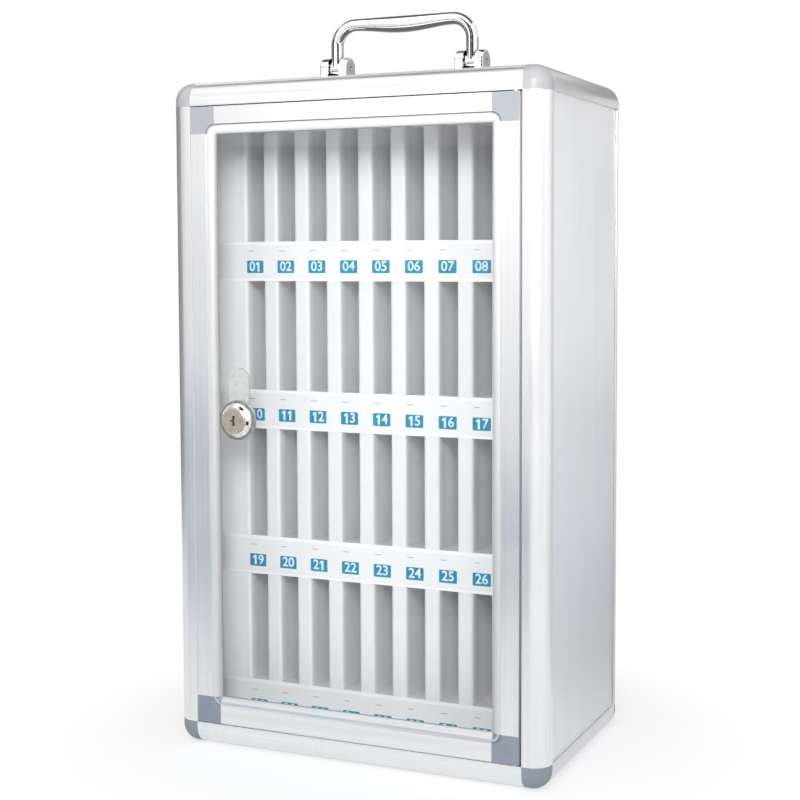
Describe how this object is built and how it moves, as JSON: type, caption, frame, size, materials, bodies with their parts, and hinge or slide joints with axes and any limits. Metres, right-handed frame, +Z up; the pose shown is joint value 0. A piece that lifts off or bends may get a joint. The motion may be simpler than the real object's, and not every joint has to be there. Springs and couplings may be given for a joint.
{
  "type": "phone locker box",
  "caption": "Portable aluminium-framed phone cabinet: clear hinged door with a cam lock, rack of upright slots, folding carrying handle.",
  "frame": {"origin": "centre of the base, on the surface that the cabinet stands on", "axes": "+Z up, +Y from the door towards the back, +X towards the hinge side"},
  "size_m": [0.356, 0.217, 0.664],
  "materials": {
    "frame_aluminium": "satin anodised",
    "door_aluminium": "satin anodised",
    "panel_aluminium": "fine vertical grain",
    "cap_light": "moulded",
    "cap_grey": "moulded",
    "corner_grey": "moulded",
    "rack_white": "powder coated",
    "clear_pane": "clear acrylic sheet",
    "gasket": "extruded",
    "lock_bezel": "nickel plated",
    "lock_plug": "brushed",
    "ring_nut": "moulded",
    "cam_steel": "zinc plated",
    "pin_steel": "plain",
    "hinge_plastic": "moulded",
    "handle_chrome": "polished"
  },
  "bodies": {
    "cabinet": {"back_panel": "panel_aluminium", "bottom_panel": "panel_aluminium", "corner_cap_front_left_bottom": "cap_grey", "corner_cap_front_left_top": "cap_light", "corner_cap_front_right_bottom": "cap_grey", "corner_cap_front_right_top": "cap_light", "corner_cap_rear_left_bottom": "cap_grey", "corner_cap_rear_left_top": "cap_light", "corner_cap_rear_right_bottom": "cap_grey", "corner_cap_rear_right_top": "cap_light", "handle_foot_bolts": "pin_steel", "handle_foot_left": "handle_chrome", "handle_foot_right": "handle_chrome", "hinge_block_bottom": "hinge_plastic", "hinge_block_top": "hinge_plastic", "post_front_left": "frame_aluminium", "post_front_right": "frame_aluminium", "post_rear_left": "frame_aluminium", "post_rear_right": "frame_aluminium", "rack_back": "rack_white", "rack_columns_1": "rack_white", "rack_columns_2": "rack_white", "rack_columns_3": "rack_white", "rack_columns_4": "rack_white", "rack_header": "rack_white", "rack_shelf_1": "rack_white", "rack_shelf_2": "rack_white", "rack_shelf_3": "rack_white", "rack_shelf_4": "rack_white", "rail_front_bottom": "frame_aluminium", "rail_front_top": "frame_aluminium", "rail_left_bottom": "frame_aluminium", "rail_left_top": "frame_aluminium", "rail_rear_bottom": "frame_aluminium", "rail_rear_top": "frame_aluminium", "rail_right_bottom": "frame_aluminium", "rail_right_top": "frame_aluminium", "side_panel_left": "panel_aluminium", "side_panel_right": "panel_aluminium", "top_panel": "panel_aluminium"},
    "door": {"door_corner_hinge_bottom": "corner_grey", "door_corner_hinge_top": "corner_grey", "door_corner_lock_bottom": "corner_grey", "door_corner_lock_top": "corner_grey", "door_pane": "clear_pane", "door_rail_bottom": "door_aluminium", "door_rail_top": "door_aluminium", "door_stile_hinge_side": "door_aluminium", "door_stile_lock_side": "door_aluminium", "pane_gasket": "gasket", "lock_housing": "lock_bezel", "lock_ring_nut": "ring_nut", "hinge_pins": "pin_steel"},
    "lock_plug": {"lock_plug": "lock_plug", "lock_cam": "cam_steel", "cam_screw": "cam_steel"},
    "handle": {"handle_grip": "handle_chrome", "handle_pivot_pins": "pin_steel"}
  },
  "joints": [
    {"name": "door_hinge", "type": "hinge", "parent": "cabinet", "child": "door", "pos_m": [0.1499, -0.1043, 0.3], "axis": [0, 0, 1], "range_deg": [0, 110]},
    {"name": "lock_turn", "type": "hinge", "parent": "door", "child": "lock_plug", "pos_m": [-0.115, -0.1085, 0.299], "axis": [0, -1, 0], "range_deg": [0, 90]},
    {"name": "handle_fold", "type": "hinge", "parent": "cabinet", "child": "handle", "pos_m": [0, 0.0085, 0.619], "axis": [1, 0, 0], "range_deg": [-90, 90]}
  ]
}
